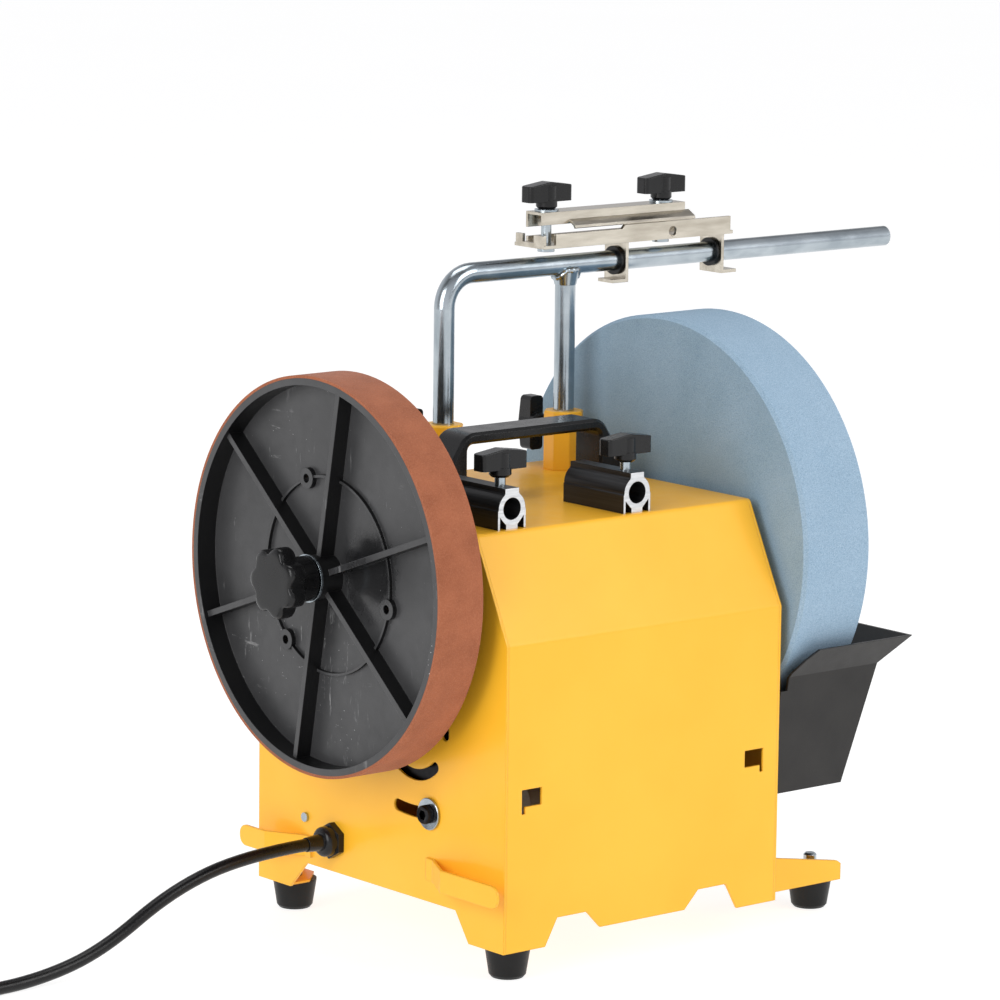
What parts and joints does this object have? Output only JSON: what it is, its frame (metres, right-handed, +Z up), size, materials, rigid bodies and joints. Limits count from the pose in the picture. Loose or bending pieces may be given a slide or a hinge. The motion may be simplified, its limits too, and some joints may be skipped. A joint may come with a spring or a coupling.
{
  "type": "wet grinding sharpener",
  "caption": "Bench sharpener with a slow wet grindstone over a water trough, a leather honing wheel, tool support bar and clamping jig.",
  "frame": {"origin": "on the floor under the middle of the machine, its lead left out", "axes": "+X from the honing wheel to the stone along the spindle, +Y from the front to the back, +Z up"},
  "size_m": [0.7818, 0.2668, 0.4133],
  "materials": {
    "yellow_paint": "satin powder coat",
    "foot_rubber": "matte",
    "zinc_plate": "bright zinc",
    "bright_steel": "ground",
    "black_steel": "black oxide",
    "black_plastic": "satin",
    "rocker_plastic": "gloss",
    "bush_nylon": "matte",
    "black_anodised": "black anodised with bare sawn ends",
    "disc_plastic": "satin, scuffed",
    "honing_leather": "suede",
    "drive_rubber": "matte",
    "grey_blue_stone": "fine grained",
    "motor_iron": "painted laminations",
    "cast_shield": "die cast",
    "nickel_plate": "nickel plated",
    "trough_plastic": "fine texture",
    "capacitor_shell": "gloss",
    "lead_sheath": "matte",
    "plug_plastic": "satin"
  },
  "bodies": {
    "housing": {"wrap_cover": "yellow_paint", "left_side_panel": "yellow_paint", "right_side_panel": "yellow_paint", "base_plate": "yellow_paint", "front_outrigger": "yellow_paint", "rear_outrigger": "yellow_paint", "foot_front_left": "foot_rubber", "foot_rear_left": "foot_rubber", "foot_front_right": "foot_rubber", "foot_rear_right": "foot_rubber", "foot_screws": "zinc_plate", "carry_handle": "black_plastic", "front_sleeve_left": "black_anodised", "front_sleeve_right": "black_anodised", "upright_sleeve_left": "yellow_paint", "upright_sleeve_right": "yellow_paint", "shaft_bush_left": "bush_nylon", "shaft_bush_right": "bush_nylon", "cover_screws": "zinc_plate", "pivot_rod": "bright_steel", "switch_body": "black_plastic", "run_capacitor": "capacitor_shell", "cord_gland": "black_plastic", "mains_lead": "lead_sheath", "lead_coil": "lead_sheath", "mains_plug": "plug_plastic"},
    "rocker": {"switch_rocker": "rocker_plastic"},
    "spindle": {"main_shaft": "bright_steel", "grindstone": "grey_blue_stone", "shaft_hardware": "zinc_plate", "honing_disc": "disc_plastic", "leather_band": "honing_leather", "drive_ring": "drive_rubber"},
    "hub_stud": {"knob_stud": "zinc_plate"},
    "hub_knob": {"star_knob": "black_plastic"},
    "motor": {"motor_stator": "motor_iron", "motor_shields": "cast_shield", "swing_plate": "black_steel", "tension_bolt": "zinc_plate"},
    "motor_rotor": {"rotor": "motor_iron", "drive_roller": "bright_steel"},
    "support": {"support_bar": "zinc_plate", "support_leg": "zinc_plate"},
    "jig_slider": {"slide_bushes": "black_plastic"},
    "jig": {"jig_base": "nickel_plate", "jig_hooks": "nickel_plate", "jig_studs": "zinc_plate"},
    "jaw": {"jig_jaw": "nickel_plate", "jig_washers": "zinc_plate"},
    "jig_knob_left": {"jig_knob_left": "black_plastic"},
    "jig_knob_right": {"jig_knob_right": "black_plastic"},
    "trough": {"water_trough": "trough_plastic"},
    "front_screw_left": {"front_lock_screw_left": "zinc_plate"},
    "front_knob_left": {"front_lock_knob_left": "black_plastic"},
    "front_screw_right": {"front_lock_screw_right": "zinc_plate"},
    "front_knob_right": {"front_lock_knob_right": "black_plastic"},
    "rear_screw_left": {"rear_lock_screw_left": "zinc_plate"},
    "rear_knob_left": {"rear_lock_knob_left": "black_plastic"},
    "rear_screw_right": {"rear_lock_screw_right": "zinc_plate"},
    "rear_knob_right": {"rear_lock_knob_right": "black_plastic"}
  },
  "joints": [
    {"name": "spindle_spin", "type": "hinge", "parent": "housing", "child": "spindle", "pos_m": [-0.08235, 0.00045, 0.2131], "axis": [1, 0, 0], "continuous": true},
    {"name": "motor_swing", "type": "hinge", "parent": "housing", "child": "motor", "pos_m": [-0.08235, -0.03415, 0.1854], "axis": [1, 0, 0], "range_deg": [0, 12]},
    {"name": "motor_spin", "type": "hinge", "parent": "motor", "child": "motor_rotor", "pos_m": [-0.08235, -0.03485, 0.1301], "axis": [1, 0, 0], "continuous": true},
    {"name": "hub_knob_travel", "type": "slide", "parent": "spindle", "child": "hub_stud", "axis": [-1, 0, 0], "range_m": [0, 0.01]},
    {"name": "hub_knob_turn", "type": "hinge", "parent": "hub_stud", "child": "hub_knob", "pos_m": [-0.08235, 0.00045, 0.2131], "axis": [-1, 0, 0], "range_deg": [0, 2880]},
    {"name": "front_lock_left_travel", "type": "slide", "parent": "housing", "child": "front_screw_left", "axis": [0, 0, 1], "range_m": [-0.003, 0.003]},
    {"name": "front_lock_left_turn", "type": "hinge", "parent": "front_screw_left", "child": "front_knob_left", "pos_m": [-0.15385, -0.07115, 0.0174], "axis": [0, 0, 1], "range_deg": [-1080, 1080]},
    {"name": "front_lock_right_travel", "type": "slide", "parent": "housing", "child": "front_screw_right", "axis": [0, 0, 1], "range_m": [-0.003, 0.003]},
    {"name": "front_lock_right_turn", "type": "hinge", "parent": "front_screw_right", "child": "front_knob_right", "pos_m": [-0.06385, -0.07115, 0.0174], "axis": [0, 0, 1], "range_deg": [-1080, 1080]},
    {"name": "rear_lock_left_travel", "type": "slide", "parent": "housing", "child": "rear_screw_left", "axis": [0, 1, 0], "range_m": [0, 0.003]},
    {"name": "rear_lock_left_turn", "type": "hinge", "parent": "rear_screw_left", "child": "rear_knob_left", "pos_m": [-0.08935, 0.05785, 0.2679], "axis": [0, 1, 0], "range_deg": [0, 1080]},
    {"name": "rear_lock_right_travel", "type": "slide", "parent": "housing", "child": "rear_screw_right", "axis": [0, 1, 0], "range_m": [0, 0.003]},
    {"name": "rear_lock_right_turn", "type": "hinge", "parent": "rear_screw_right", "child": "rear_knob_right", "pos_m": [0.00065, 0.05785, 0.2679], "axis": [0, 1, 0], "range_deg": [0, 1080]},
    {"name": "support_slide", "type": "slide", "parent": "housing", "child": "support", "axis": [0, 0, 1], "range_m": [-0.015, 0.045]},
    {"name": "jig_slide", "type": "slide", "parent": "support", "child": "jig_slider", "axis": [1, 0, 0], "range_m": [-0.018, 0.13]},
    {"name": "jig_tilt", "type": "hinge", "parent": "jig_slider", "child": "jig", "pos_m": [-0.08235, 0.05785, 0.3637], "axis": [1, 0, 0], "range_deg": [-50, 50]},
    {"name": "jaw_lift", "type": "slide", "parent": "jig", "child": "jaw", "axis": [0, 0, 1], "range_m": [0, 0.006]},
    {"name": "jig_knob_left_turn", "type": "hinge", "parent": "jaw", "child": "jig_knob_left", "pos_m": [-0.01735, 0.05435, 0.0174], "axis": [0, 0, 1], "range_deg": [0, 2160]},
    {"name": "jig_knob_right_turn", "type": "hinge", "parent": "jaw", "child": "jig_knob_right", "pos_m": [0.07035, 0.05435, 0.0174], "axis": [0, 0, 1], "range_deg": [0, 2160]},
    {"name": "switch_tip", "type": "hinge", "parent": "housing", "child": "rocker", "pos_m": [-0.13235, 0.10535, 0.1514], "axis": [1, 0, 0], "range_deg": [-12, 0]},
    {"name": "trough_slide", "type": "slide", "parent": "housing", "child": "trough", "axis": [0, 0, 1], "range_m": [-0.03, 0]}
  ],
  "couplings": [
    {"joint": "motor_spin", "follows": "spindle_spin", "ratio": 13.914},
    {"joint": "hub_knob_travel", "follows": "hub_knob_turn", "m_per_rad": 0.00019894},
    {"joint": "front_lock_left_travel", "follows": "front_lock_left_turn", "m_per_rad": 0.00015915},
    {"joint": "front_lock_right_travel", "follows": "front_lock_right_turn", "m_per_rad": 0.00015915},
    {"joint": "rear_lock_left_travel", "follows": "rear_lock_left_turn", "m_per_rad": 0.00015915},
    {"joint": "rear_lock_right_travel", "follows": "rear_lock_right_turn", "m_per_rad": 0.00015915},
    {"joint": "jaw_lift", "follows": "jig_knob_left_turn", "m_per_rad": 0.00015915},
    {"joint": "jig_knob_right_turn", "follows": "jig_knob_left_turn", "ratio": 1}
  ]
}
